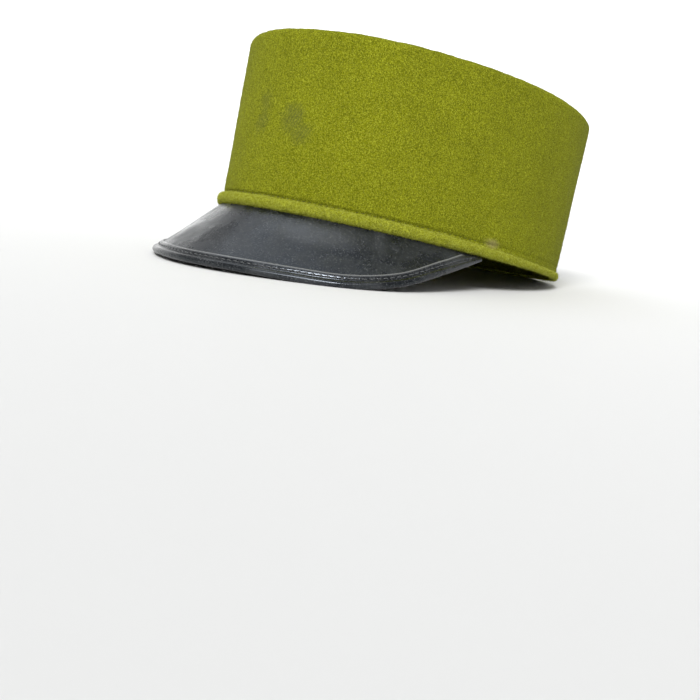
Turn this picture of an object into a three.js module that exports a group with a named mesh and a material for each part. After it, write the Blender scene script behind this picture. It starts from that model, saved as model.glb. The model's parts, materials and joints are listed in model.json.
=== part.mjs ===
// Kepi cap: a pillbox crown of felted wool cloth, a rolled hem welt round its mouth, and a sloping
// leather visor whose rim is bound with a stitched leather binding.
// Millimetres, +Z up, the wearer faces -Y, and +X is the wearer's left.
//
// The cap is worked out in its own frame, where the mouth lies in the plane z = 0, and is then
// leaned back as one group, the way a kepi settles on a table: on the rim of its visor and on the
// back of its hem, which the weight presses flat.
import * as THREE from 'three';

// ---- Driving dimensions --------------------------------------------------------------------

const LEAN = THREE.MathUtils.degToRad(8.4); // how far the cap leans back when it stands on a table
const FIT = 0.3;                           // gap between pieces that touch

const CLOTH = 2.6;                         // felted wool, doubled over its stiffening
const CROWN_HEIGHT = 86.4;                  // mouth to top
const TOP_EDGE_RADIUS = 3.4;                // the softly blocked edge of the top
const MOUTH = { halfLength: 102.5, halfWidth: 84.5, back: 0.7 };   // outside of the crown, at z = 0
const TOP = { halfLength: 103.9, halfWidth: 85.3, back: -0.7 };    // and where its side would meet the top

const WELT_FLOOR = 1.9;                    // cloth turned under the crown's lower edge
const WELT_FRONT = { proud: 2.3, height: 5.4 };  // the roll over the visor
const WELT_BACK = { proud: 1.0, height: 3.0 };   // where it is pulled flat behind the visor
const WELT_FADE = { start: 55, end: 115 };       // degrees from the front
const HEEL_PRESSED = 0.7;                  // how deep the back of the hem is pressed by the table

const LEATHER = 1.8;                       // visor plate
const FLANGE = { height: 8, thickness: 1.6 };    // its inner edge, turned up and sewn inside the crown
const VISOR_PRESSED = 0.25;                // how deep the rim is pressed by the table
// The binding: how wide it is over and under the leather, the radius of the bead at its fold, the
// slack inside the fold, the thickness of its leaf, the groove between leaf and bead, and how far it
// stays from the hem.
const BINDING = {
  width: 7.0, underWidth: 5.6, bead: 1.7, fold: 0.1, leaf: 0.6,
  grooveDepth: 0.45, grooveWidth: 0.4, clear: 1.8,
};

// The visor from its middle to its wearer's-left end, each row a section:
//   hemAngle  where the section leaves the hem, in degrees from the front
//   aside     how far its rim stands to the wearer's left
//   ahead     how far its rim stands in front of the mouth's centre
//   lift      how high the underside of its rim is over the table
//   tuck      how far outside the crown's face the leather runs level under the welt
//   taper     thickness of leather and binding there, over that at the middle
const VISOR_SECTIONS = [
  { hemAngle: 0, aside: 0, ahead: 135.2, lift: 1.8, tuck: 0.8, taper: 1 },
  { hemAngle: 15, aside: 27.5, ahead: 129.7, lift: 1.7, tuck: 0.8, taper: 1 },
  { hemAngle: 30, aside: 53.0, ahead: 115.0, lift: 0.7, tuck: 0.8, taper: 1 },
  { hemAngle: 44, aside: 73.6, ahead: 96.5, lift: 0, tuck: 0.8, taper: 1 },
  { hemAngle: 56, aside: 84.8, ahead: 75.5, lift: 2.6, tuck: 0.6, taper: 1 },
  { hemAngle: 67, aside: 86.6, ahead: 51.4, lift: 8.7, tuck: 0, taper: 0.9 },
  { hemAngle: 77, aside: 83.4, ahead: 22.5, lift: 15.4, tuck: -1.5, taper: 0.55 },
];

const AROUND = 80;             // steps round the crown and the welt
const ALONG_VISOR = 60;        // steps from one end of the visor to the other
const WALL_RINGS = [20, 48];   // heights of the rings between the hem and the top edge
const TOP_RINGS = [0.35, 0.7]; // sizes of the rings on the flat top
const EDGE_TURNS = [0, 18, 36, 54, 72, 90];               // degrees round the top edge
const BEAD_TURNS = [108, 90, 65, 35, 5, -25, -60, -90];   // degrees round the rim's bead
const WELT_STEPS = 7;          // steps round the roll
const SLOPE_SHARES = [0, 0.3, 0.65];   // where the plate has points between the hem and its edge

const COLOURS = {
  wool: { color: 0x878b1e, roughness: 0.95, metalness: 0 },
  welt: { color: 0x979931, roughness: 0.95, metalness: 0 },
  leather: { color: 0x26282a, roughness: 0.35, metalness: 0 },
};

// ---- Ovals and the table -------------------------------------------------------------------

// A point on the mouth's oval, moved outwards by `out`; angle 0 is the front.
function ovalPoint(oval, angle, out, z) {
  return new THREE.Vector3(
    (oval.halfWidth + out) * Math.sin(angle),
    oval.back - (oval.halfLength + out) * Math.cos(angle),
    z,
  );
}

// The crown's oval at a height over the mouth.
function crownOval(z) {
  const share = z / CROWN_HEIGHT;
  return {
    halfLength: THREE.MathUtils.lerp(MOUTH.halfLength, TOP.halfLength, share),
    halfWidth: THREE.MathUtils.lerp(MOUTH.halfWidth, TOP.halfWidth, share),
    back: THREE.MathUtils.lerp(MOUTH.back, TOP.back, share),
  };
}

// The table's surface, seen from the leaning cap's own frame: a plane that rises to the back.
const heelY = MOUTH.back + MOUTH.halfLength + WELT_BACK.proud;
const tableHeight = (y) => HEEL_PRESSED - (heelY - y) * Math.tan(LEAN);

function pressOnTable(point) {
  point.z = Math.max(point.z, tableHeight(point.y));
  return point;
}

// ---- Closed meshes from rows of points -----------------------------------------------------

// Joins equal rows of points into one closed mesh. Each row is a closed loop of points; the rows
// either close on themselves or end in a flat cap at each end.
function loft(rows, { closed }) {
  const size = rows[0].length;
  const positions = rows.flatMap((row) => row.flatMap((point) => point.toArray()));
  const index = [];
  const spans = closed ? rows.length : rows.length - 1;
  for (let i = 0; i < spans; i += 1) {
    const next = (i + 1) % rows.length;
    for (let j = 0; j < size; j += 1) {
      const k = (j + 1) % size;
      const [a, b, c, d] = [i * size + j, i * size + k, next * size + k, next * size + j];
      index.push(a, b, c, a, c, d);
    }
  }
  if (!closed) {
    addCap(index, rows[0], 0, true);
    addCap(index, rows.at(-1), (rows.length - 1) * size, false);
  }
  return toGeometry(positions, index);
}

// A flat cap over one row, cut into triangles in the plane in which the row lies.
function addCap(index, row, first, reversed) {
  const centre = row.reduce((sum, point) => sum.add(point), new THREE.Vector3()).divideScalar(row.length);
  const normal = new THREE.Vector3();
  row.forEach((point, i) => {
    const next = row[(i + 1) % row.length];
    normal.add(point.clone().sub(centre).cross(next.clone().sub(centre)));
  });
  normal.normalize();
  const across = row[1].clone().sub(row[0]).projectOnPlane(normal).normalize();
  const up = normal.clone().cross(across);
  const flat = row.map((point) => new THREE.Vector2(point.dot(across), point.dot(up)));
  for (const [a, b, c] of THREE.ShapeUtils.triangulateShape(flat, [])) {
    index.push(first + a, first + (reversed ? c : b), first + (reversed ? b : c));
  }
}

// A stack of rings from one pole to another pole, as one closed mesh.
function stackRings(firstPole, rings, lastPole) {
  const size = rings[0].length;
  const positions = [firstPole, ...rings.flat(), lastPole].flatMap((point) => point.toArray());
  const lastIndex = positions.length / 3 - 1;
  const index = [];
  for (let j = 0; j < size; j += 1) {
    const k = (j + 1) % size;
    index.push(0, 1 + k, 1 + j);
    for (let i = 0; i < rings.length - 1; i += 1) {
      const here = 1 + i * size;
      const next = here + size;
      index.push(here + j, here + k, next + k, here + j, next + k, next + j);
    }
    index.push(lastIndex, lastIndex - size + j, lastIndex - size + k);
  }
  return toGeometry(positions, index);
}

function toGeometry(positions, index) {
  const geometry = new THREE.BufferGeometry();
  geometry.setAttribute('position', new THREE.Float32BufferAttribute(positions, 3));
  geometry.setIndex(index);
  geometry.computeVertexNormals();
  return geometry;
}

// ---- Crown ---------------------------------------------------------------------------------

// One blocked shell: the inside of the top, down the inside of the wall, round its lower edge, up
// the outside and over the softly rounded edge to the flat top.
function crownGeometry() {
  const ring = (inset, z, scale = 1) => {
    const oval = crownOval(z);
    const centre = new THREE.Vector3(0, oval.back, z);
    return Array.from({ length: AROUND }, (_, i) => {
      const point = ovalPoint(oval, (i / AROUND) * 2 * Math.PI, -inset, z);
      return point.sub(centre).multiplyScalar(scale).add(centre);
    });
  };
  const innerTop = CROWN_HEIGHT - CLOTH;
  const innerRadius = TOP_EDGE_RADIUS - CLOTH;
  const bend = EDGE_TURNS.map(THREE.MathUtils.degToRad);
  const wall = [WELT_FLOOR + FIT, ...WALL_RINGS];
  const bent = (radius, top, skin) => bend.map((angle) => ring(
    skin + radius * (1 - Math.cos(angle)),
    top - radius * (1 - Math.sin(angle)),
  ));
  const inside = [
    ...TOP_RINGS.map((scale) => ring(TOP_EDGE_RADIUS, innerTop, scale)),
    ...bent(innerRadius, innerTop, CLOTH).reverse(),
    ...wall.toReversed().map((z) => ring(CLOTH, z)),
  ];
  const outside = [
    ...wall.map((z) => ring(0, z)),
    ...bent(TOP_EDGE_RADIUS, CROWN_HEIGHT, 0),
    ...TOP_RINGS.toReversed().map((scale) => ring(TOP_EDGE_RADIUS, CROWN_HEIGHT, scale)),
  ];
  const poleY = crownOval(CROWN_HEIGHT).back;
  return stackRings(
    new THREE.Vector3(0, poleY, innerTop),
    [...inside, ...outside],
    new THREE.Vector3(0, poleY, CROWN_HEIGHT),
  );
}

// ---- Hem welt ------------------------------------------------------------------------------

// 1 over the visor, fading to 0 where the roll is pulled flat behind it.
function weltFullness(angle) {
  const degrees = Math.abs(THREE.MathUtils.radToDeg(Math.atan2(Math.sin(angle), Math.cos(angle))));
  return 1 - THREE.MathUtils.smoothstep(degrees, WELT_FADE.start, WELT_FADE.end);
}

// The cloth turned up round the crown's lower edge: level under the wall, and rolled outside it.
function weltGeometry() {
  const rows = Array.from({ length: AROUND }, (_, i) => {
    const angle = (i / AROUND) * 2 * Math.PI;
    const fullness = weltFullness(angle);
    const proud = THREE.MathUtils.lerp(WELT_BACK.proud, WELT_FRONT.proud, fullness);
    const height = THREE.MathUtils.lerp(WELT_BACK.height, WELT_FRONT.height, fullness);
    const section = [[-CLOTH, 0], [-CLOTH, WELT_FLOOR], [FIT, WELT_FLOOR]];
    for (let step = 0; step <= WELT_STEPS; step += 1) {
      const turn = Math.PI * (0.5 - step / WELT_STEPS);
      section.push([FIT + (proud - FIT) * Math.cos(turn), (height / 2) * (1 + Math.sin(turn))]);
    }
    return section.map(([out, z]) => pressOnTable(ovalPoint(crownOval(z), angle, out, z)));
  });
  return loft(rows, { closed: true });
}

// ---- Visor ---------------------------------------------------------------------------------

// The sections of the whole visor, from the wearer's right to the left, as two smooth curves.
const mirrored = [
  ...VISOR_SECTIONS.slice(1).reverse().map((row) => ({ ...row, hemAngle: -row.hemAngle, aside: -row.aside })),
  ...VISOR_SECTIONS,
];
const smoothCurve = (toPoint) => new THREE.CatmullRomCurve3(mirrored.map(toPoint), false, 'catmullrom', 0.5);
const rimCurve = smoothCurve((row) => new THREE.Vector3(row.aside, -row.ahead, row.lift));
const hemCurve = smoothCurve((row) => new THREE.Vector3(row.hemAngle, row.tuck, row.taper));

// One section of the visor: where its leather leaves the hem, and the middle of its rim bead.
function visorSection(share) {
  const rim = rimCurve.getPoint(share);
  const hem = hemCurve.getPoint(share);
  const angle = THREE.MathUtils.degToRad(hem.x);
  const taper = hem.z;
  const bead = BINDING.bead * taper;
  const centre = new THREE.Vector3(rim.x, rim.y, tableHeight(rim.y) + rim.z + bead - VISOR_PRESSED);
  const start = ovalPoint(MOUTH, angle, hem.y, -FIT - (LEATHER * taper) / 2);
  return { angle, taper, bead, centre, start };
}

// The sections, with the directions down the slope and out of the upper face, how much longer the
// slope is than the rim's own width, because it meets the rim aslant, and the length of the slope.
const sections = Array.from({ length: ALONG_VISOR + 1 }, (_, i) => visorSection(i / ALONG_VISOR));
sections.forEach((section, i) => {
  const before = sections[Math.max(i - 1, 0)];
  const after = sections[Math.min(i + 1, ALONG_VISOR)];
  const along = after.centre.clone().sub(before.centre).normalize();
  section.down = section.centre.clone().sub(section.start).normalize();
  section.out = along.clone().cross(section.down).normalize();
  section.out.multiplyScalar(Math.sign(section.out.z));
  section.oblique = 1 / Math.sqrt(1 - along.dot(section.down) ** 2);
  section.reach = section.centre.distanceTo(section.start);
});

// A point of a section: `inward` from the outermost of the rim, up the slope, and `over` the
// middle of the leather.
function onSection(section, inward, over) {
  const upSlope = (inward - section.bead) * section.oblique;
  return section.centre.clone()
    .addScaledVector(section.down, -upSlope)
    .addScaledVector(section.out, over);
}

// The leather plate, with its inner edge run level under the welt and turned up inside the crown.
function visorGeometry() {
  const upwards = new THREE.Vector3(0, 0, 1);
  const flangeFace = -CLOTH - FIT;
  const rows = sections.map((section) => {
    const half = (LEATHER * section.taper) / 2;
    const edge = section.bead + BINDING.fold + FIT;
    const flangeTop = THREE.MathUtils.lerp(FLANGE.height / 2, FLANGE.height, section.taper);
    const level = -FIT - half;
    const oval = (out, z) => ovalPoint(crownOval(z), section.angle, out, z);
    const slope = (side) => SLOPE_SHARES.map((share) => section.start.clone()
      .lerp(onSection(section, edge, 0), share)
      .addScaledVector(share === 0 ? upwards : section.out, side * half));
    return [
      oval(flangeFace, flangeTop),
      oval(flangeFace, level + half),
      ...slope(1),
      onSection(section, edge, half),
      onSection(section, edge, -half),
      ...slope(-1).reverse(),
      oval(flangeFace - FLANGE.thickness, level - half),
      oval(flangeFace - FLANGE.thickness, flangeTop),
    ];
  });
  return loft(rows, { closed: false });
}

// The leather binding, folded over the plate's edge: a stitched leaf, a groove and a round bead on
// top, and a narrower leaf below.
function bindingGeometry() {
  const rows = sections.map((section) => {
    const { taper, bead } = section;
    const skin = (LEATHER / 2) * taper + FIT;
    const leafTop = skin + BINDING.leaf * taper;
    const grooveAt = 2 * bead;
    const leafEdge = grooveAt + BINDING.grooveWidth * taper;
    const leastWidth = leafEdge + BINDING.fold * taper;
    const room = section.reach / section.oblique + bead - BINDING.clear * taper;
    const width = THREE.MathUtils.clamp(BINDING.width, leastWidth, Math.max(room, leastWidth));
    const under = THREE.MathUtils.clamp(BINDING.underWidth, leastWidth, Math.max(room, leastWidth));
    const contour = [
      [width, skin],
      [width, leafTop],
      [leafEdge, leafTop],
      [grooveAt, leafTop - BINDING.grooveDepth * taper],
      ...BEAD_TURNS.map((degrees) => {
        const turn = THREE.MathUtils.degToRad(degrees);
        return [bead * (1 - Math.cos(turn)), bead * Math.sin(turn)];
      }),
      [under, -leafTop],
      [under, -skin],
      [bead + BINDING.fold, -skin],
      [bead + BINDING.fold, skin],
    ];
    return contour.map(([inward, over]) => pressOnTable(onSection(section, inward, over)));
  });
  return loft(rows, { closed: false });
}

// ---- The cap -------------------------------------------------------------------------------

function piece(name, geometry, colour) {
  const mesh = new THREE.Mesh(geometry, new THREE.MeshStandardMaterial(colour));
  mesh.name = name;
  return mesh;
}

const cap = new THREE.Group();
cap.add(
  piece('crown', crownGeometry(), COLOURS.wool),
  piece('hem_welt', weltGeometry(), COLOURS.welt),
  piece('visor', visorGeometry(), COLOURS.leather),
  piece('visor_binding', bindingGeometry(), COLOURS.leather),
);
cap.rotation.x = -LEAN;

// Stand the leaning cap on z = 0, with the middle of its length over the origin.
const standing = new THREE.Group();
standing.add(cap);
standing.updateMatrixWorld(true);
const bounds = new THREE.Box3().setFromObject(standing, true);
cap.position.set(0, -(bounds.min.y + bounds.max.y) / 2, -bounds.min.z);

export default standing;
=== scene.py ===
import json
import math
from collections import namedtuple

import bmesh
import bpy
import numpy as np
from mathutils import Matrix, Vector


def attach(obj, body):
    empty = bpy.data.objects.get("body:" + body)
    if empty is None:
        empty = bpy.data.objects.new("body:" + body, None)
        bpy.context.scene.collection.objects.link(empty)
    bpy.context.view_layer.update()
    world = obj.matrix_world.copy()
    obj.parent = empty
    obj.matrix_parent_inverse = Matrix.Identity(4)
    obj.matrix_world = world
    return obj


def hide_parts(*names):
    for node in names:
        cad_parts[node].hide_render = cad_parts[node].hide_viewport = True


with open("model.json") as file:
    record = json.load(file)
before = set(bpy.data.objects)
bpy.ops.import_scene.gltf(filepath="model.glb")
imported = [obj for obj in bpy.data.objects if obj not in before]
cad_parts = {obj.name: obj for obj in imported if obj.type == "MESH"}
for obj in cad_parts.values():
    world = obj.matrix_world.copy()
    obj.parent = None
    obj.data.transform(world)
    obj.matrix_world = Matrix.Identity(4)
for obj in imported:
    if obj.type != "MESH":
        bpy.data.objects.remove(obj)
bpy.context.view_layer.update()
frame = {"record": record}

MM = 0.001

# ---- Sizes of the cap, in millimetres and degrees ------------------------------------------------

Oval = namedtuple("Oval", "half_length half_width back")

FIT = 0.3
CLOTH = 2.6
CROWN_HEIGHT = 86.4
TOP_EDGE_RADIUS = 3.4
MOUTH = Oval(102.5, 84.5, 0.7)
TOP = Oval(103.9, 85.3, -0.7)

WELT_FLOOR = 1.9
Welt = namedtuple("Welt", "proud height")
WELT_FRONT = Welt(2.3, 5.4)
WELT_BACK = Welt(1.0, 3.0)
WELT_FADE = (55, 115)
HEEL_PRESSED = 0.7

LEATHER = 1.8
FLANGE_HEIGHT = 8
FLANGE_THICKNESS = 1.6
VISOR_PRESSED = 0.25

BINDING_WIDTH = 7.0
BINDING_UNDER = 5.6
BEAD = 1.7
FOLD = 0.1
LEAF = 0.6
BINDING_CLEAR = 1.8

# The visor from its middle to its left end: where each section leaves the hem, how far its rim
# stands aside, ahead and over the table, how far the leather runs level under the welt, and how
# thick leather and binding are there against the middle.
VisorRow = namedtuple("VisorRow", "hem_angle aside ahead lift tuck taper")
VISOR_ROWS = [
    VisorRow(0, 0, 135.2, 1.8, 0.8, 1),
    VisorRow(15, 27.5, 129.7, 1.7, 0.8, 1),
    VisorRow(30, 53.0, 115.0, 0.7, 0.8, 1),
    VisorRow(44, 73.6, 96.5, 0, 0.8, 1),
    VisorRow(56, 84.8, 75.5, 2.6, 0.6, 1),
    VisorRow(67, 86.6, 51.4, 8.7, 0, 0.9),
    VisorRow(77, 83.4, 22.5, 15.4, -1.5, 0.55),
]

# ---- Sizes that only the finish has --------------------------------------------------------------

QUARTER = 160              # steps round a quarter of the crown, and across its top
WALL_STEP = 0.92           # height of a row of the crown's cloth
HEM_SEAM = 6.3             # height of the seam over the rolled hem
HEM_SEAM_DEPTH = 0.75
HEM_SEAM_HALF = 0.8
HEM_SEAM_BEHIND = 0.3      # share of its depth that it keeps at the back
HEM_SEAM_REACH = 2.1       # the cloth has finer rows this far over and under the seam
HEM_SEAM_ROW = 0.3
HEM_STITCH = 2.9           # length of one stitch of that seam
BINDING_STITCH = 3.3       # and of one in the binding
SEAM_SHARE = 0.2           # where the binding's seam runs across its leaf, from the bead
SEAM_CHANNEL = 0.42        # depth of the channel that it is sunk in
SEAM_HALF = 0.62
HOLE = 0.4                 # radius of a stitch hole
HOLE_DEPTH = 0.45
HEM_SEAM_END = 112         # degrees from the front
THREAD = 0.27
ROLL_FLATNESS = 0.8        # under 1, the roll's section is fuller than a half circle
LIP = 0.42                 # how far the leaf's rounded edge reaches
LEAF_GROOVE = 0.4
LEAF_GROOVE_DEPTH = 0.45
SNUG = 0.03                # gap between the binding and the leather in it
VISOR_SAG = 0.35           # how far the middle of the slope sags
VISOR_WAVE = 0.12
WELD = 0.002               # points this close are one
FIBRE_RADIUS = 0.06        # a real wool fibre is 0.015, too thin to show
FIBRE_ROOT = 0.15          # how deep a fibre stands in the felt
FIBRE_THICKNESS = (0.7, 1.2)         # least and most, against the radius
FIBRE_LENGTH = (0.4, 1.2)            # the same, against the nap's length
FIBRE_RISE = (0.15, 0.9)             # how upright a fibre stands, against how far it strays
FIBRE_STRAY = 0.6
FIBRE_LEAST_RISE = 0.1
NAP_FALL = np.array([0, 0, -0.25])   # the nap is brushed down
TWILL_SLANT = -30          # degrees
TWILL_RIB = 1.5            # see felted_wool
BINDING_PAINTED_HIGHLIGHT = BINDING_WIDTH - 1.3   # the binding's leaf is painted grey from here in to its edge: a painted highlight along its lip
NO_PAINTED_HIGHLIGHT = 99            # farther than the visor reaches, so that its edge gets no painted highlight

# Waves of an uneven surface, added together.
Wave = namedtuple("Wave", "size height seed")
FELT_WAVES = [Wave(14, 0.12, 1), Wave(4.5, 0.10, 2), Wave(2.2, 0.10, 3), Wave(1.2, 0.05, 4)]
ROLL_WAVES = [Wave(3.4, 0.2, 12), Wave(1.8, 0.26, 13), Wave(1.0, 0.1, 14)]

# ---- Camera and light ----------------------------------------------------------------------------

CAMERA_PLACE = (387.67, -379.96, 46.02)   # millimetres in the row frame
CAMERA_AIM = (7.39, -17.38, -43.39)
CAMERA_ROLL = 6.28         # degrees
CAMERA_LENS = 50.57
SENSOR = 36
WORLD_STRENGTH = 0.45
SUN_WIDTH = 24             # degrees, as wide as a large softbox
CARD_SIZE = 1.5            # metres

# The floor's section in metres: level under the cap, then rising into a low wall.
Floor = namedtuple("Floor", "radius height")
FLOOR = [
    Floor(0.0, 0.0),
    Floor(1.2, 0.0),
    Floor(1.8, 0.03),
    Floor(2.2, 0.13),
    Floor(2.5, 0.36),
    Floor(2.7, 0.8),
    Floor(2.8, 1.6),
]


# ---- Placing things ------------------------------------------------------------------------------

def cap_matrix():
    """From the cap's own frame in millimetres to the row frame in metres, by the crown_top mount."""
    mount = next(m for m in frame["record"]["mounts"] if m["name"] == "crown_top")
    up = Vector(mount["axis"]).normalized()
    lean = Matrix.Rotation(-math.atan2(up.y, up.z), 4, "X")
    own_top = Vector((0, TOP.back, CROWN_HEIGHT)) * MM
    return Matrix.Translation(Vector(mount["pos_m"]) - lean @ own_top) @ lean @ Matrix.Scale(MM, 4)


CAP = cap_matrix()
LEAN = -CAP.to_euler().x


def put(points):
    """Points of the cap's own frame, in the row frame."""
    turn = np.array(CAP.to_3x3())
    return points @ turn.T + np.array(CAP.translation)


# ---- Noise and curves ----------------------------------------------------------------------------

def smooth(x):
    return x * x * (3 - 2 * x)


def smoothstep(x, start, end):
    return smooth(np.clip((x - start) / (end - start), 0, 1))


def value_noise(points, size, seed):
    """Smooth noise from -1 to 1 with bumps of about `size` millimetres."""
    cells = 64
    lattice = np.random.default_rng(seed).uniform(-1, 1, (cells, cells, cells))
    scaled = points / size
    low = np.floor(scaled).astype(int)
    share = smooth(scaled - low)
    total = np.zeros(points.shape[:-1])
    for corner in np.ndindex(2, 2, 2):
        weight = np.prod(np.where(corner, share, 1 - share), axis=-1)
        at = (low + corner) % cells
        total += weight * lattice[at[..., 0], at[..., 1], at[..., 2]]
    return total


def catmull_rom(rows, share):
    """Points on the smooth curve through `rows`, for shares of the way along it from 0 to 1."""
    rows = np.array(rows, float)
    rows = np.concatenate([[2 * rows[0] - rows[1]], rows, [2 * rows[-1] - rows[-2]]])
    spans = len(rows) - 3
    at = np.clip(share * spans, 0, spans - 1e-9)
    i = at.astype(int)
    t = (at - i)[:, None]
    a, b, c, d = (rows[i + k] for k in range(4))
    return 0.5 * (2 * b + (c - a) * t + (2 * a - 5 * b + 4 * c - d) * t**2
                  + (3 * b - a - 3 * c + d) * t**3)


def lerp(a, b, share):
    return a + (b - a) * share


def unit(vectors):
    return vectors / np.linalg.norm(vectors, axis=-1, keepdims=True)


def stack(x, y, z):
    return np.stack(np.broadcast_arrays(x, y, z), axis=-1).astype(float)


# ---- Making pieces -------------------------------------------------------------------------------

# A stretch of surface: a grid of points with their normals, and where each lies on the cloth, in
# millimetres along and across it.
Sheet = namedtuple("Sheet", "points normals place")


def sheet(points, normals, place):
    shape = points.shape[:2]
    return Sheet(points, np.broadcast_to(normals, (*shape, 3)), np.broadcast_to(place, (*shape, 2)))


def grid_faces(rows, columns, first):
    """Quads of a grid of points that are numbered row by row from `first`."""
    i, j = np.indices((rows - 1, columns - 1)).reshape(2, -1)
    corner = first + i * columns + j
    return np.stack([corner, corner + 1, corner + columns + 1, corner + columns], axis=1)


def make_piece(name, sheets, material, node, capped=False):
    """One closed mesh of sheets that share their edges, standing for a CAD node and riding on the cap.

    The rows of a capped piece's sheets run round its section one after another, and its first and
    last sections are closed with a face."""
    faces, ends, first = [], ([], []), 0
    for part in sheets:
        rows, columns = part.points.shape[:2]
        faces += grid_faces(rows, columns, first).tolist()
        for end, row in zip(ends, (0, rows - 1)):
            end += range(first + row * columns, first + row * columns + columns - 1)
        first += rows * columns
    if capped:
        faces += ends
    points = np.concatenate([part.points.reshape(-1, 3) for part in sheets])
    place = np.concatenate([part.place.reshape(-1, 2) for part in sheets])

    mesh = bpy.data.meshes.new(name)
    mesh.from_pydata(put(points), [], faces)
    corners = np.zeros(len(mesh.loops), int)
    mesh.loops.foreach_get("vertex_index", corners)
    mesh.uv_layers.new(name="cloth").uv.foreach_set("vector", place[corners].astype(np.float32).ravel())

    weld = bmesh.new()
    weld.from_mesh(mesh)
    bmesh.ops.remove_doubles(weld, verts=weld.verts, dist=WELD * MM)
    bmesh.ops.recalc_face_normals(weld, faces=weld.faces)
    weld.to_mesh(mesh)
    weld.free()
    return show(mesh, material, node)


def show(mesh, material, node):
    mesh.shade_smooth()
    mesh.materials.append(material)
    piece = bpy.data.objects.new(mesh.name, mesh)
    bpy.context.scene.collection.objects.link(piece)
    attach(piece, "root")
    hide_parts(node)
    return piece


# ---- Crown ---------------------------------------------------------------------------------------

def oval_point(oval, angle, out, z):
    """A point outside an oval by `out`; angle 0 is the front."""
    return stack(
        (oval.half_width + out) * np.sin(angle),
        oval.back - (oval.half_length + out) * np.cos(angle),
        z,
    )


def crown_oval(z):
    share = np.asarray(z) / CROWN_HEIGHT
    return Oval(*(lerp(low, high, share) for low, high in zip(MOUTH, TOP)))


def girth(angle):
    """How far round the mouth an angle lies, in millimetres from the front."""
    steps = np.linspace(0, math.pi, 721)
    rim = oval_point(MOUTH, steps, 0, 0)
    along = np.concatenate([[0], np.cumsum(np.linalg.norm(np.diff(rim, axis=0), axis=1))])
    return np.sign(angle) * np.interp(np.abs(angle), steps, along)


def fullness(angle):
    """1 where the hem is fully rolled, over the visor, fading to 0 behind it."""
    return 1 - smoothstep(np.abs(np.degrees(angle)), *WELT_FADE)


def unevenness(points, waves):
    """The uneven surface of felt: broad softness, and clumps of nap."""
    return sum(wave.height * value_noise(points, wave.size, wave.seed) for wave in waves)


def raised(part, height):
    return part._replace(points=part.points + part.normals * height[..., None])


def crown_sheets():
    """The felt crown, from the middle of its outside to the middle of its inside."""
    angle = np.linspace(-math.pi, math.pi, 4 * QUARTER + 1)
    outwards = unit(stack(np.sin(angle) / MOUTH.half_width, -np.cos(angle) / MOUTH.half_length, 0))
    up = np.array([0.0, 0, 1])
    around = girth(angle)

    def ring(inset, z):
        return oval_point(crown_oval(z), angle, -inset, z)

    seam_rows = np.arange(HEM_SEAM - HEM_SEAM_REACH, HEM_SEAM + HEM_SEAM_REACH, HEM_SEAM_ROW)
    wall_top = CROWN_HEIGHT - TOP_EDGE_RADIUS
    heights = np.concatenate([
        np.linspace(WELT_FLOOR, seam_rows[0] - 2 * HEM_SEAM_ROW, 3),
        seam_rows,
        np.arange(seam_rows[-1] + 2 * HEM_SEAM_ROW, wall_top - WALL_STEP / 2, WALL_STEP),
        [wall_top],
    ])[:, None]
    wall = sheet(ring(0, heights), outwards, stack(around, heights, 0)[..., :2])
    seam = np.exp(-((heights - HEM_SEAM) / HEM_SEAM_HALF) ** 2)
    seam = HEM_SEAM_DEPTH * seam * lerp(HEM_SEAM_BEHIND, 1, fullness(angle))
    wall = raised(wall, unevenness(wall.points, FELT_WAVES) - seam)

    turn = np.linspace(0, math.pi / 2, 9)[:, None]
    bend = sheet(
        ring(TOP_EDGE_RADIUS * (1 - np.cos(turn)), CROWN_HEIGHT - TOP_EDGE_RADIUS * (1 - np.sin(turn))),
        np.cos(turn)[..., None] * outwards + np.sin(turn)[..., None] * up,
        stack(around, wall_top + TOP_EDGE_RADIUS * turn, 0)[..., :2],
    )
    bend = raised(bend, unevenness(bend.points, FELT_WAVES))

    across = math.sqrt(2) * np.sin(np.linspace(-math.pi / 4, math.pi / 4, QUARTER + 1))
    i, j = across[:, None], across[None, :]
    lid_oval = crown_oval(CROWN_HEIGHT)
    lid_points = stack(
        (lid_oval.half_width - TOP_EDGE_RADIUS) * i * np.sqrt(1 - j**2 / 2),
        lid_oval.back - (lid_oval.half_length - TOP_EDGE_RADIUS) * j * np.sqrt(1 - i**2 / 2),
        CROWN_HEIGHT,
    )
    lid = sheet(lid_points, up, lid_points[..., :2] + np.array([0, 3 * CROWN_HEIGHT]))
    lid = raised(lid, unevenness(lid.points, FELT_WAVES))

    inner_top = CROWN_HEIGHT - CLOTH
    corner = TOP_EDGE_RADIUS - CLOTH
    inner_heights = np.array([WELT_FLOOR, inner_top - corner, inner_top])[:, None]
    inner_inset = np.array([CLOTH, CLOTH, TOP_EDGE_RADIUS])[:, None]
    inner_wall = sheet(ring(inner_inset, inner_heights), -outwards, stack(around, inner_heights, 0)[..., :2])
    edge = inner_wall.points[-1]
    middle = np.array([0, lid_oval.back, inner_top])
    shares = np.array([1, 0.7, 0.35, 0])[:, None, None]
    ceiling_points = middle + (edge - middle) * shares
    ceiling = sheet(ceiling_points, -up, ceiling_points[..., :2])
    lower_edge = sheet(np.stack([wall.points[0], inner_wall.points[0]]), -up, stack(around, 0, 0)[..., :2])
    return {"outside": [wall, bend, lid], "inside": [inner_wall, ceiling, lower_edge]}


# ---- Rolled hem ----------------------------------------------------------------------------------

HEEL_Y = MOUTH.back + MOUTH.half_length + WELT_BACK.proud


def table_height(y):
    """The table's height under the leaning cap, in the cap's own frame."""
    return HEEL_PRESSED - (HEEL_Y - y) * math.tan(LEAN)


def press_on_table(points):
    points[..., 2] = np.maximum(points[..., 2], table_height(points[..., 1]))
    return points


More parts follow.
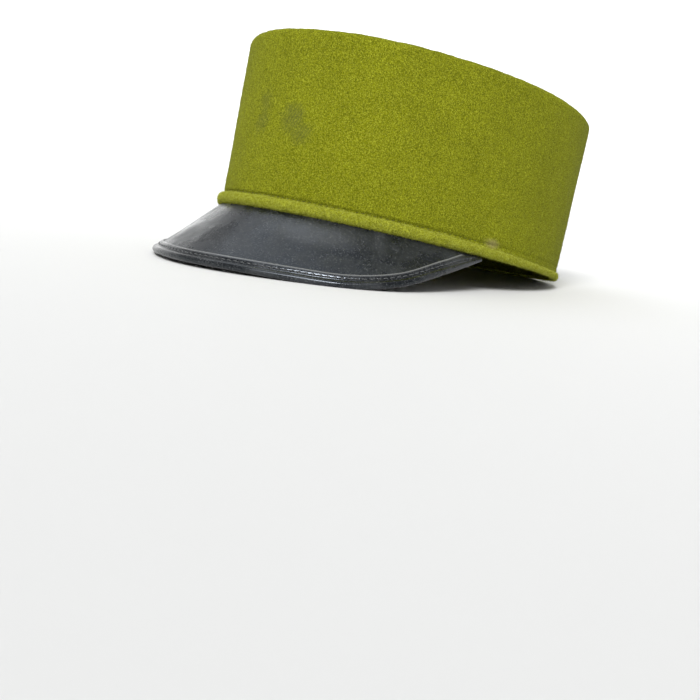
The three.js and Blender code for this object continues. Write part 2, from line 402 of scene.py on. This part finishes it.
def hem_sheets():
    """The cloth turned up round the crown's lower edge: level below it, and rolled outside it."""
    angle = np.linspace(-math.pi, math.pi, 1001)[:, None]
    full = fullness(angle)
    wobble = value_noise(oval_point(MOUTH, angle, 0, 0), 9, 11)
    proud = lerp(WELT_BACK.proud, WELT_FRONT.proud, full) * (1 + 0.06 * wobble)
    height = lerp(WELT_BACK.height, WELT_FRONT.height, full) * (1 + 0.04 * wobble)

    turn = np.linspace(math.pi / 2, -math.pi / 2, 31)[None, :]
    roll_out = FIT / 2 + (proud - FIT / 2) * np.cos(turn) ** ROLL_FLATNESS
    roll_z = height / 2 * (1 + np.sin(turn))
    roll = oval_point(crown_oval(roll_z), angle, roll_out, roll_z)
    outwards = oval_point(Oval(1 / MOUTH.half_length, 1 / MOUTH.half_width, 0), angle, 0, 0)
    normals = np.cos(turn)[..., None] * unit(outwards) + np.sin(turn)[..., None] * np.array([0.0, 0, 1])
    around = girth(angle)
    roll = sheet(roll, unit(normals), stack(around, height * turn / 2, 0)[..., :2])
    roll = raised(roll, unevenness(roll.points, ROLL_WAVES) * np.cos(turn) ** 0.5)

    def strip(*section):
        points = [oval_point(crown_oval(z), angle[:, 0], out, z) for out, z in section]
        return np.stack(points, axis=1)

    under = strip((-CLOTH, 0), (-CLOTH, WELT_FLOOR), (FIT / 2, WELT_FLOOR))
    inner = np.concatenate([roll.points[:, -1:], under, roll.points[:, :1]], axis=1)
    inner = sheet(inner, np.array([0.0, 0, -1]), stack(around, 0, 0)[..., :2])
    return [part._replace(points=press_on_table(part.points)) for part in (roll, inner)]


# ---- Nap -----------------------------------------------------------------------------------------

def make_nap(name, sheets, count, length, material, node, seed):
    """Short wool fibres that stand out of the sheets, each a slim closed spike."""
    random = np.random.default_rng(seed)
    corners, normals = [], []
    for part in sheets:
        rows, columns = part.points.shape[:2]
        faces = grid_faces(rows, columns, 0)
        corners.append(part.points.reshape(-1, 3)[faces])
        normals.append(part.normals.reshape(-1, 3)[faces[:, 0]])
    corners, normals = np.concatenate(corners), np.concatenate(normals)
    area = np.linalg.norm(np.cross(corners[:, 2] - corners[:, 0], corners[:, 3] - corners[:, 1]), axis=1)
    chosen = random.choice(len(area), count, p=area / area.sum())
    u, v = random.random((2, count, 1))
    a, b, c, d = np.moveaxis(corners[chosen], 1, 0)
    root = (a * (1 - u) + b * u) * (1 - v) + (d * (1 - u) + c * u) * v

    normal = normals[chosen]
    lay = unit(random.normal(size=(count, 3)))
    direction = unit(normal * random.uniform(*FIBRE_RISE, (count, 1)) + lay * FIBRE_STRAY + NAP_FALL)
    reach = np.sum(direction * normal, axis=1, keepdims=True)
    direction = unit(direction + normal * np.maximum(FIBRE_LEAST_RISE - reach, 0))
    side = unit(np.cross(direction, lay + 1e-3))
    other = np.cross(direction, side)
    thick = FIBRE_RADIUS * random.uniform(*FIBRE_THICKNESS, (count, 1))
    tall = length * random.uniform(*FIBRE_LENGTH, (count, 1))
    start = root - direction * FIBRE_ROOT
    around = [start + thick * (side * math.cos(t) + other * math.sin(t))
              for t in (0, 2 * math.pi / 3, 4 * math.pi / 3)]
    points = np.stack([*around, root + direction * tall], axis=1)
    points = points[np.all(points[..., 2] > table_height(points[..., 1]), axis=1)]
    spike = np.array([[0, 2, 1], [0, 1, 3], [1, 2, 3], [2, 0, 3]])
    faces = (4 * np.arange(len(points))[:, None, None] + spike).reshape(-1, 3)
    points = points.reshape(-1, 3)
    mesh = bpy.data.meshes.new(name)
    mesh.from_pydata(put(points), [], faces.tolist())
    return show(mesh, material, node)


# ---- Visor ---------------------------------------------------------------------------------------

Section = namedtuple("Section", "angle taper bead centre start down out oblique reach")


def visor_sections(count):
    """Sections of the visor from its right end to its left, as arrays with a row for each."""
    rows = [row._replace(hem_angle=-row.hem_angle, aside=-row.aside) for row in VISOR_ROWS[:0:-1]]
    rows += VISOR_ROWS
    share = np.linspace(0, 1, count)
    rim = catmull_rom([(row.aside, -row.ahead, row.lift) for row in rows], share)
    hem_angle, tuck, taper = catmull_rom([(row.hem_angle, row.tuck, row.taper) for row in rows], share).T
    bead = BEAD * taper
    centre = rim.copy()
    centre[:, 2] += table_height(rim[:, 1]) + bead - VISOR_PRESSED
    angle = np.radians(hem_angle)
    start = oval_point(MOUTH, angle, tuck, -FIT - LEATHER * taper / 2)
    along = unit(np.gradient(centre, axis=0))
    down = unit(centre - start)
    out = unit(np.cross(along, down))
    out *= np.sign(out[:, 2:])
    oblique = 1 / np.sqrt(1 - np.sum(along * down, axis=1) ** 2)
    reach = np.linalg.norm(centre - start, axis=1)
    return Section(angle, taper, bead, centre, start, down, out, oblique, reach)


def on_section(section, inward, over):
    """Points `inward` from the outermost of the rim, up the slope, and `over` the leather's middle."""
    inward, over = np.broadcast_arrays(np.atleast_1d(inward), np.atleast_1d(over))
    up_slope = (inward - section.bead[:, None]) * section.oblique[:, None]
    return (section.centre[:, None] - section.down[:, None] * up_slope[..., None]
            + section.out[:, None] * over[..., None])


def visor_sheets(section):
    """The leather plate: a sloping leaf whose inner edge is turned up inside the crown."""
    half = LEATHER * section.taper / 2
    edge = on_section(section, (section.bead + FOLD + FIT)[:, None], 0)[:, 0]
    flange_top = lerp(FLANGE_HEIGHT / 2, FLANGE_HEIGHT, section.taper)
    face = -CLOTH - FIT
    level = -FIT - half

    def slope(side, share):
        middle = lerp(section.start[:, None], edge[:, None], share[None, :, None])
        blend = smoothstep(share, 0, 0.3)[None, :, None]
        normal = side * unit(lerp(np.array([0.0, 0, 1]), section.out[:, None], blend))
        held = np.sin(math.pi * share)
        sag = VISOR_SAG * held + VISOR_WAVE * value_noise(middle, 26, 21) * np.sqrt(np.abs(held))
        points = middle + normal * (half[:, None] - side * sag)[..., None]
        return sheet(points, normal, stack(around, share * section.reach[:, None], 0)[..., :2])

    def flange(out, z):
        return oval_point(crown_oval(z), section.angle, out, z)

    around = girth(section.angle)[:, None]
    top = slope(1, np.linspace(0, 1, 61))
    bottom = slope(-1, np.linspace(1, 0, 31))
    rim = np.stack([top.points[:, -1], bottom.points[:, 0]], axis=1)
    hem = np.stack([
        bottom.points[:, -1],
        flange(face - FLANGE_THICKNESS, level - half),
        flange(face - FLANGE_THICKNESS, flange_top),
        flange(face, flange_top),
        flange(face, level + half),
        top.points[:, 0],
    ], axis=1)
    flat_place = stack(around, 0, 0)[..., :2]
    return [
        top,
        sheet(rim, section.down[:, None], flat_place),
        bottom,
        sheet(hem, np.array([0.0, 0, 1]), flat_place),
    ]


# ---- Binding -------------------------------------------------------------------------------------

def binding_widths(section):
    """How far in from the rim the leaf's two edges and its seam are."""
    taper = section.taper
    leaf_edge = 2 * section.bead + LEAF_GROOVE * taper
    room = section.reach / section.oblique + section.bead - BINDING_CLEAR * taper
    inner = np.maximum(np.minimum(BINDING_WIDTH, room), leaf_edge + 0.1 * taper)
    under = np.maximum(np.minimum(BINDING_UNDER, room), leaf_edge + 0.1 * taper)
    seam = lerp(leaf_edge, inner, SEAM_SHARE)
    return leaf_edge, inner, under, seam


def seam_line(section, over):
    seam = binding_widths(section)[3]
    return on_section(section, seam[:, None], over[:, None])[:, 0]


def length_along(points):
    return np.concatenate([[0], np.cumsum(np.linalg.norm(np.diff(points, axis=0), axis=1))])


def leaf_height(section):
    return (LEATHER / 2 + LEAF) * section.taper + SNUG


def binding_sheets(section):
    """The binding folded over the rim: a stitched leaf, a groove and a round bead, and a leaf below.

    Its section runs from the leaf's rounded edge out to the rim and back below, and then along the
    leather that it is folded over."""
    taper = section.taper[:, None]
    leaf_edge, inner, under, seam = (x[:, None] for x in binding_widths(section))
    skin = LEATHER / 2 * taper + SNUG
    top = leaf_height(section)[:, None]

    leaf_in = lerp(inner - LIP * taper, leaf_edge, np.linspace(0, 1, 27)[None])
    channel = np.exp(-((leaf_in - seam) / (SEAM_HALF * taper)) ** 2)
    to_hole = (length_along(seam_line(section, top[:, 0])) / BINDING_STITCH)[:, None]
    to_hole = np.abs(to_hole - np.round(to_hole)) * BINDING_STITCH
    hole = np.exp(-(to_hole / HOLE) ** 2 - ((leaf_in - seam) / HOLE) ** 2)
    leaf_over = top - (SEAM_CHANNEL * channel + HOLE_DEPTH * hole) * taper

    turn = np.radians(np.linspace(122, -90, 33))[None]
    bead = section.bead[:, None]
    contour = [
        (inner, skin),
        (inner, lerp(skin, top, 0.6)),
        (inner - 0.12 * taper, lerp(skin, top, 0.88)),
        (leaf_in, leaf_over),
        (2 * bead + 0.12 * taper, top - 0.35 * taper),
        (2 * bead, top - LEAF_GROOVE_DEPTH * taper),
        (bead * (1 - np.cos(turn)), bead * np.sin(turn)),
        (under, -top),
        (under, -skin),
        (bead + FOLD, -skin),
        (bead + FOLD, skin),
        (inner, skin),
    ]
    inward, over = (np.concatenate(side, axis=1) for side in zip(*contour))
    points = press_on_table(on_section(section, inward, over))
    points[:, -1] = points[:, 0]
    place = stack(length_along(section.centre)[:, None], inward, 0)[..., :2]
    return [sheet(points, section.out[:, None], place)]


def stitches(line, over, aside, length, slack, radius, slant, arch):
    """Stitches of a seam along `line`, each a rounded length of thread from hole to hole.

    `over` points out of the surface, and `aside` across the seam, at each point of the line."""
    along = length_along(line)
    share = np.linspace(0, 1, 9)
    turn = np.linspace(0, 2 * math.pi, 9)
    sheets = []
    for start in np.arange(length, along[-1] - 2 * length, length):
        at = start + slack + share * (length - 2 * slack)
        centre, up, across = (
            np.stack([np.interp(at, along, values[:, axis]) for axis in range(3)], axis=1)
            for values in (line, over, aside)
        )
        bow = 1 - (2 * share - 1) ** 2
        centre = centre + up * (arch * bow)[:, None] + across * (slant * (2 * share - 1))[:, None]
        thick = radius * np.clip(1 - np.abs(2 * share - 1) ** 3, 0, 1) ** 0.5
        ring = np.cos(turn)[None, :, None] * up[:, None] + np.sin(turn)[None, :, None] * across[:, None]
        points = centre[:, None] + thick[:, None, None] * ring
        sheets.append(sheet(points, ring, stack(at[:, None], turn, 0)[..., :2]))
    return sheets


def binding_stitches(section):
    line = seam_line(section, leaf_height(section) - SEAM_CHANNEL * section.taper)
    keep = section.taper > 0.75
    aside = unit(np.cross(np.gradient(line, axis=0), section.out))
    return stitches(line[keep], section.out[keep], aside[keep], BINDING_STITCH, 0.35, THREAD, 0.16, 0.22)


def hem_stitches():
    angle = np.radians(np.linspace(-HEM_SEAM_END, HEM_SEAM_END, 1201))
    line = oval_point(crown_oval(HEM_SEAM), angle, -HEM_SEAM_DEPTH - 0.1, HEM_SEAM)
    over = unit(oval_point(Oval(1 / MOUTH.half_length, 1 / MOUTH.half_width, 0), angle, 0, 0))
    aside = np.broadcast_to([0.0, 0, 1], line.shape)
    return stitches(line, over, aside, HEM_STITCH, 0.5, 0.8 * THREAD, 0.05, 0.1)


# ---- Finishes: helpers ---------------------------------------------------------------------------

def srgb(code):
    """A colour written as sRGB hex, as linear RGBA."""
    levels = [int(code[i:i + 2], 16) / 255 for i in (1, 3, 5)]
    linear = [x / 12.92 if x <= 0.04045 else ((x + 0.055) / 1.055) ** 2.4 for x in levels]
    return (*linear, 1.0)


def per(size):
    """The scale of a pattern whose features are `size` millimetres, on coordinates in metres."""
    return 1 / (size * MM)


def add(tree, kind, inputs, **settings):
    """Adds a node with its settings. Each input takes a value, or is linked to a node's output."""
    node = tree.nodes.new("ShaderNode" + kind)
    for name, value in settings.items():
        setattr(node, name, value)
    for name, value in inputs.items():
        if isinstance(value, bpy.types.NodeSocket):
            tree.links.new(value, node.inputs[name])
        else:
            node.inputs[name].default_value = value
    return node


def new_material(name):
    material = bpy.data.materials.new(name)
    material.use_nodes = True
    material.node_tree.nodes.clear()
    return material, material.node_tree


def finish_surface(tree, inputs):
    surface = add(tree, "BsdfPrincipled", inputs)
    add(tree, "OutputMaterial", {"Surface": surface.outputs["BSDF"]})


# The numbers of a Mix node's colour sockets, which share their names with its other sockets.
SHARE, FIRST, SECOND, MIXED = 0, 6, 7, 2


# ---- Felted wool ---------------------------------------------------------------------------------

Smudge = namedtuple("Smudge", "round height half_width half_height turn depth")

# Stains on the front of the crown, where a badge was worn, and a worn patch low on its left side:
# how far round from the middle of the front, height over the mouth, half sizes, turn and strength.
STAINS = [
    Smudge(-2.0, 49.5, 4.8, 6.8, 0, 0.65),
    Smudge(-2.6, 41.0, 5.0, 7.0, -6, 0.7),
    Smudge(18.0, 44.0, 7.6, 7.0, 0, 1.0),
    Smudge(23.8, 37.5, 6.4, 5.4, 30, 0.8),
]
WORN = [Smudge(130.0, 7.0, 5.0, 2.6, 0, 0.4)]


def smudge_mask(tree, place, ragged, smudges):
    """How strong the smudges are: each one's depth in its middle, fading out raggedly."""
    total = 0.0
    for smudge in smudges:
        spot = add(tree, "Mapping", {
            "Vector": place,
            "Location": (smudge.round, smudge.height, 0),
            "Rotation": (0, 0, math.radians(smudge.turn)),
            "Scale": (smudge.half_width, smudge.half_height, 1),
        }, vector_type="TEXTURE")
        far = add(tree, "VectorMath", {0: spot.outputs["Vector"]}, operation="LENGTH")
        far = add(tree, "Math", {0: far.outputs["Value"], 1: ragged}, operation="ADD")
        mask = add(tree, "MapRange", {
            "Value": far.outputs[0], "From Min": 1.4, "From Max": 0.2, "To Max": smudge.depth,
        }, interpolation_type="SMOOTHSTEP")
        total = add(tree, "Math", {0: mask.outputs["Result"], 1: total}, operation="MAXIMUM").outputs[0]
    return total


def felted_wool(name, shade, body, fleck, stained, sheen):
    """Wool cloth milled to felt: matt, with a short nap that scatters light softly at its edges, lighter
    and darker fibres mixed in the yarn, and the twill under it faintly there where the nap is worn."""
    material, tree = new_material(name)
    at = add(tree, "TexCoord", {}).outputs["Object"]
    place = add(tree, "UVMap", {}, uv_map="cloth").outputs["UV"]
    mottle = add(tree, "TexNoise", {"Vector": at, "Scale": per(24), "Detail": 2.0})
    tufts = add(tree, "TexNoise", {"Vector": at, "Scale": per(3.0), "Detail": 2.0})
    clumps = add(tree, "TexNoise", {"Vector": at, "Scale": per(0.75), "Detail": 1.0})
    fibres = add(tree, "TexNoise", {"Vector": at, "Scale": per(0.45), "Detail": 1.0, "Distortion": 0.5})

    # Wool fibres are 0.03 mm thick; the flecks drawn here stand for bundles of them.
    clump = add(tree, "MapRange", {"Value": clumps.outputs["Fac"], "From Min": 0.36, "From Max": 0.62})
    strand = add(tree, "MapRange", {"Value": fibres.outputs["Fac"], "From Min": 0.5, "From Max": 0.68,
                                    "To Max": 0.85})
    colour = add(tree, "Mix", {SHARE: clump.outputs["Result"], FIRST: srgb(shade), SECOND: srgb(body)},
                 data_type="RGBA")
    colour = add(tree, "Mix", {SHARE: strand.outputs["Result"], FIRST: colour.outputs[MIXED],
                               SECOND: srgb(fleck)}, data_type="RGBA")
    tuft = add(tree, "MapRange", {"Value": tufts.outputs["Fac"], "From Min": 0.3, "From Max": 0.7,
                                  "To Min": 0.93, "To Max": 1.06})
    broad = add(tree, "MapRange", {"Value": mottle.outputs["Fac"], "From Min": 0.3, "From Max": 0.7,
                                   "To Min": 0.93, "To Max": 1.05})
    uneven = add(tree, "Math", {0: tuft.outputs["Result"], 1: broad.outputs["Result"]}, operation="MULTIPLY")
    colour = add(tree, "Mix", {SHARE: 1.0, FIRST: colour.outputs[MIXED], SECOND: uneven.outputs[0]},
                 data_type="RGBA", blend_type="MULTIPLY")

    # The twill's ribs are 0.9 mm apart on the cloth, and are drawn TWILL_RIB apart so that they show.
    twill = add(tree, "Mapping", {"Vector": place, "Rotation": (0, 0, math.radians(TWILL_SLANT)),
                                  "Scale": (TWILL_RIB, TWILL_RIB, 1)}, vector_type="TEXTURE")
    ribs = add(tree, "TexWave", {"Vector": twill.outputs["Vector"], "Scale": 0.314, "Distortion": 1.2,
                                 "Detail": 1.0})
    height = add(tree, "Math", {0: clumps.outputs["Fac"], 1: 0.6, 2: fibres.outputs["Fac"]},
                 operation="MULTIPLY_ADD")
    height = add(tree, "Math", {0: ribs.outputs["Fac"], 1: 0.1, 2: height.outputs[0]},
                 operation="MULTIPLY_ADD")
    if stained:
        ragged = add(tree, "TexNoise", {"Vector": at, "Scale": per(5), "Detail": 3.0, "Roughness": 0.6})
        ragged = add(tree, "MapRange", {"Value": ragged.outputs["Fac"], "To Min": -0.8, "To Max": 0.8})
        stain = smudge_mask(tree, place, ragged.outputs["Result"], STAINS)
        ribbed = add(tree, "MapRange", {"Value": ribs.outputs["Fac"], "To Min": 0.25, "To Max": 0.6})
        stain = add(tree, "Math", {0: stain, 1: ribbed.outputs["Result"]}, operation="MULTIPLY")
        colour = add(tree, "Mix", {SHARE: stain.outputs[0], FIRST: colour.outputs[MIXED],
                                   SECOND: srgb("#41452a")}, data_type="RGBA")
        worn = smudge_mask(tree, place, ragged.outputs["Result"], WORN)
        colour = add(tree, "Mix", {SHARE: worn, FIRST: colour.outputs[MIXED], SECOND: srgb("#9c8d6c")},
                     data_type="RGBA")
    bump = add(tree, "Bump", {"Height": height.outputs[0], "Strength": 0.6, "Distance": 0.4 * MM})
    finish_surface(tree, {
        "Base Color": colour.outputs[MIXED],
        "Roughness": 0.95,
        "Specular IOR Level": 0.1,
        "Sheen Weight": sheen,
        "Sheen Roughness": 0.6,
        "Sheen Tint": srgb(fleck),
        "Normal": bump.outputs["Normal"],
    })
    return material


def wool_fibre(name, dark, light):
    """Single wool fibres: soft, matt and a little paler than the felt that they stand in."""
    material, tree = new_material(name)
    at = add(tree, "TexCoord", {}).outputs["Object"]
    dye = add(tree, "TexNoise", {"Vector": at, "Scale": per(1.1), "Detail": 2.0})
    share = add(tree, "MapRange", {"Value": dye.outputs["Fac"], "From Min": 0.35, "From Max": 0.65})
    colour = add(tree, "Mix", {SHARE: share.outputs["Result"], FIRST: srgb(dark), SECOND: srgb(light)},
                 data_type="RGBA")
    finish_surface(tree, {
        "Base Color": colour.outputs[MIXED],
        "Roughness": 0.9,
        "Specular IOR Level": 0.2,
        "Sheen Weight": 0.3,
        "Sheen Tint": srgb(light),
    })
    return material


# ---- Leather -------------------------------------------------------------------------------------

# Painted reflections on the visor, pale grey patches where it would mirror light: one near the hem on its
# left, where it would reflect the crown, a large one towards its right, where it would reflect the pale
# backdrop, and two fainter ones ahead.
PAINTED_REFLECTIONS = [
    Smudge(44, 10, 22, 8, 0, 0.08),
    Smudge(8, 27, 12, 7, 20, 0.03),
    Smudge(-38, 16, 30, 22, 0, 0.26),
    Smudge(-16, 24, 14, 10, 0, 0.08),
]


def satin_leather(name, black, dust_and_painted_light_grey, roughness, grain, painted_highlight_from, painted_reflections):
    """Black leather, corrected and waxed to a satin: broad soft reflections that break up where it was
    handled, fine pores, grey dust caught on it, pale patches of painted reflection, and a painted highlight
    in grey along an edge."""
    material, tree = new_material(name)
    at = add(tree, "TexCoord", {}).outputs["Object"]
    place = add(tree, "UVMap", {}, uv_map="cloth").outputs["UV"]
    across = add(tree, "SeparateXYZ", {"Vector": place})
    handled = add(tree, "TexNoise", {"Vector": at, "Scale": per(13), "Detail": 4.0, "Roughness": 0.6})
    pores = add(tree, "TexNoise", {"Vector": at, "Scale": per(0.9), "Detail": 2.0, "Roughness": 0.6})
    creases = add(tree, "TexNoise", {"Vector": at, "Scale": per(11), "Detail": 1.0})
    specks = add(tree, "TexVoronoi", {"Vector": at, "Scale": per(1.3), "Randomness": 1.0})
    lint = add(tree, "TexNoise", {"Vector": at, "Scale": per(6), "Detail": 2.0})

    near = add(tree, "MapRange", {"Value": specks.outputs["Distance"], "From Min": 0.26, "From Max": 0.08})
    thick = add(tree, "MapRange", {"Value": lint.outputs["Fac"], "From Min": 0.3, "From Max": 0.7,
                                   "To Max": 0.2})
    dust_and_painted_light = add(tree, "Math", {0: near.outputs["Result"], 1: thick.outputs["Result"]}, operation="MULTIPLY")
    veil = add(tree, "MapRange", {"Value": handled.outputs["Fac"], "From Min": 0.42, "From Max": 0.7,
                                  "To Max": 0.05})
    grey = add(tree, "MapRange", {"Value": pores.outputs["Fac"], "From Min": 0.55, "From Max": 0.75,
                                  "To Max": 0.12})
    veil = add(tree, "Math", {0: veil.outputs["Result"], 1: grey.outputs["Result"]}, operation="ADD")
    dust_and_painted_light = add(tree, "Math", {0: dust_and_painted_light.outputs[0], 1: veil.outputs[0]}, operation="ADD")
    ragged = add(tree, "MapRange", {"Value": handled.outputs["Fac"], "To Min": -0.6, "To Max": 0.6})
    # painted reflections: pale grey patches where the visor would mirror the crown and the backdrop
    painted_reflection_mask = smudge_mask(tree, place, ragged.outputs["Result"], painted_reflections)
    dust_and_painted_light = add(tree, "Math", {0: dust_and_painted_light.outputs[0], 1: painted_reflection_mask}, operation="ADD")
    # painted highlight: the binding's leaf is painted grey in towards its lip
    painted_highlight = add(tree, "MapRange", {"Value": across.outputs["Y"], "From Min": painted_highlight_from,
                                    "From Max": painted_highlight_from + 1.2, "To Max": 0.45})
    dust_and_painted_light = add(tree, "Math", {0: dust_and_painted_light.outputs[0], 1: painted_highlight.outputs["Result"]}, operation="MAXIMUM")
    rough = add(tree, "MapRange", {"Value": handled.outputs["Fac"], "From Min": 0.35, "From Max": 0.65,
                                   "To Min": roughness - 0.1, "To Max": roughness + 0.14})
    height = add(tree, "Math", {0: pores.outputs["Fac"], 1: 0.2, 2: creases.outputs["Fac"]},
                 operation="MULTIPLY_ADD")
    bump = add(tree, "Bump", {"Height": height.outputs[0], "Strength": grain, "Distance": 0.8 * MM})
    colour = add(tree, "Mix", {SHARE: dust_and_painted_light.outputs[0], FIRST: srgb(black), SECOND: srgb(dust_and_painted_light_grey)},
                 data_type="RGBA")
    finish_surface(tree, {
        "Base Color": colour.outputs[MIXED],
        "Roughness": rough.outputs["Result"],
        "IOR": 1.5,
        "Specular Tint": srgb("#e4eefa"),
        "Normal": bump.outputs["Normal"],
    })
    return material


def waxed_thread(name, dark, light, ply, roughness):
    """Twisted thread: its plies make short slanting ribs that catch the light, each rib with a painted
    highlight.
    """
    material, tree = new_material(name)
    place = add(tree, "UVMap", {}, uv_map="cloth").outputs["UV"]
    ribs = add(tree, "TexWave", {"Vector": place, "Scale": 0.314 / ply, "Distortion": 0.4},
               bands_direction="DIAGONAL")
    bump = add(tree, "Bump", {"Height": ribs.outputs["Fac"], "Strength": 0.6, "Distance": 0.08 * MM})
    # painted highlight: each rib's crest is coloured lighter, a painted glint
    colour = add(tree, "Mix", {SHARE: ribs.outputs["Fac"], FIRST: srgb(dark), SECOND: srgb(light)},
                 data_type="RGBA")
    finish_surface(tree, {
        "Base Color": colour.outputs[MIXED],
        "Roughness": roughness,
        "Normal": bump.outputs["Normal"],
    })
    return material


# ---- The cap -------------------------------------------------------------------------------------

def make_crown(crown):
    wool = felted_wool("milled wool cloth", "#535706", "#6f730d", "#979b2b", True, 0.1)
    fibre = wool_fibre("wool nap", "#62660e", "#93962f")
    make_piece("crown_cloth", crown["outside"] + crown["inside"], wool, "crown")
    make_nap("crown_nap", crown["outside"], 42000, 1.0, fibre, "crown", 31)


def make_hem():
    wool = felted_wool("rolled wool cloth", "#6a6e0d", "#909422", "#bdc04a", False, 0.2)
    fibre = wool_fibre("wool nap of the hem", "#868a1b", "#babd52")
    # its second colour is a painted glint on the thread's ribs
    thread = waxed_thread("wool coloured thread", "#45490a", "#565a0f", 0.6, 0.9)
    hem = hem_sheets()
    make_piece("hem_roll", hem, wool, "hem_welt")
    make_nap("hem_nap", hem[:1], 40000, 1.3, fibre, "hem_welt", 32)
    make_piece("hem_stitches", hem_stitches(), thread, "hem_welt")


def make_visor():
    # its grey is used for dust and for the painted reflections
    leather = satin_leather("waxed visor leather", "#090c10", "#a9abab", 0.27, 0.45, NO_PAINTED_HIGHLIGHT, PAINTED_REFLECTIONS)
    plate = visor_sheets(visor_sections(481))
    make_piece("visor_plate", plate, leather, "visor", capped=True)


def make_binding():
    # its grey is used for dust and for the painted highlight along the leaf's lip
    leather = satin_leather("polished binding leather", "#0b0d0f", "#b5b6b6", 0.24, 0.12,
                            BINDING_PAINTED_HIGHLIGHT, [])
    # its second colour is a painted glint on the thread's ribs
    thread = waxed_thread("black waxed thread", "#1c1d1e", "#707274", 0.5, 0.25)
    section = visor_sections(1101)
    sheets = binding_sheets(section)
    make_piece("rim_binding", sheets, leather, "visor_binding", capped=True)
    make_piece("rim_stitches", binding_stitches(section), thread, "visor_binding")


# ---- Stage, lights and camera --------------------------------------------------------------------

def make_stage():
    """A pale floor that rises all round into a low pale wall, with no edge in any direction."""
    radius, height = np.array(FLOOR).T[..., None]
    turn = np.linspace(0, 2 * math.pi, 97)
    ring = stack(radius * np.cos(turn), radius * np.sin(turn), height)
    mesh = bpy.data.meshes.new("floor")
    mesh.from_pydata(ring.reshape(-1, 3), [], grid_faces(len(FLOOR), len(turn), 0).tolist())
    mesh.validate()
    mesh.shade_smooth()
    material, tree = new_material("matt white floor")
    finish_surface(tree, {"Base Color": srgb("#dfdfde"), "Roughness": 0.8, "Specular IOR Level": 0.2})
    mesh.materials.append(material)
    floor = bpy.data.objects.new("floor", mesh)
    bpy.context.scene.collection.objects.link(floor)

    world = bpy.data.worlds.new("pale studio")
    world.use_nodes = True
    world.node_tree.nodes["Background"].inputs["Color"].default_value = (1, 1, 1, 1)
    world.node_tree.nodes["Background"].inputs["Strength"].default_value = WORLD_STRENGTH
    bpy.context.scene.world = world
    bpy.context.scene.view_settings.view_transform = "Standard"


def make_light(name, kind, azimuth, elevation, far, strength, colour, **settings):
    """A soft light that faces the cap. Azimuth 0 is in front of the cap, 90 on its left."""
    a, e = math.radians(azimuth), math.radians(elevation)
    back = Vector((math.sin(a) * math.cos(e), -math.cos(a) * math.cos(e), math.sin(e)))
    data = bpy.data.lights.new(name, kind)
    data.energy = strength
    data.color = colour
    for setting, value in settings.items():
        setattr(data, setting, value)
    light = bpy.data.objects.new(name, data)
    light.location = back * far
    light.rotation_euler = back.to_track_quat("Z", "Y").to_euler()
    bpy.context.scene.collection.objects.link(light)


def make_camera():
    """Looks at the cap from its front left, low over the floor, and a little rolled."""
    place, aim = Vector(CAMERA_PLACE) * MM, Vector(CAMERA_AIM) * MM
    data = bpy.data.cameras.new("camera")
    data.lens = CAMERA_LENS
    data.sensor_width = SENSOR
    data.clip_start = 0.01
    camera = bpy.data.objects.new("camera", data)
    level = (place - aim).to_track_quat("Z", "Y").to_matrix().to_4x4()
    roll = Matrix.Rotation(math.radians(CAMERA_ROLL), 4, "Z")
    camera.matrix_world = Matrix.Translation(place) @ level @ roll
    bpy.context.scene.collection.objects.link(camera)
    bpy.context.scene.camera = camera


make_camera()
make_stage()
make_light("key", "SUN", 34, 36, 3, 4.5, (1, 1, 1), angle=math.radians(SUN_WIDTH))
make_light("card", "AREA", -95, 68, 2.0, 7.5, (0.88, 0.94, 1), shape="SQUARE", size=CARD_SIZE)
make_crown(crown_sheets())
make_hem()
make_visor()
make_binding()
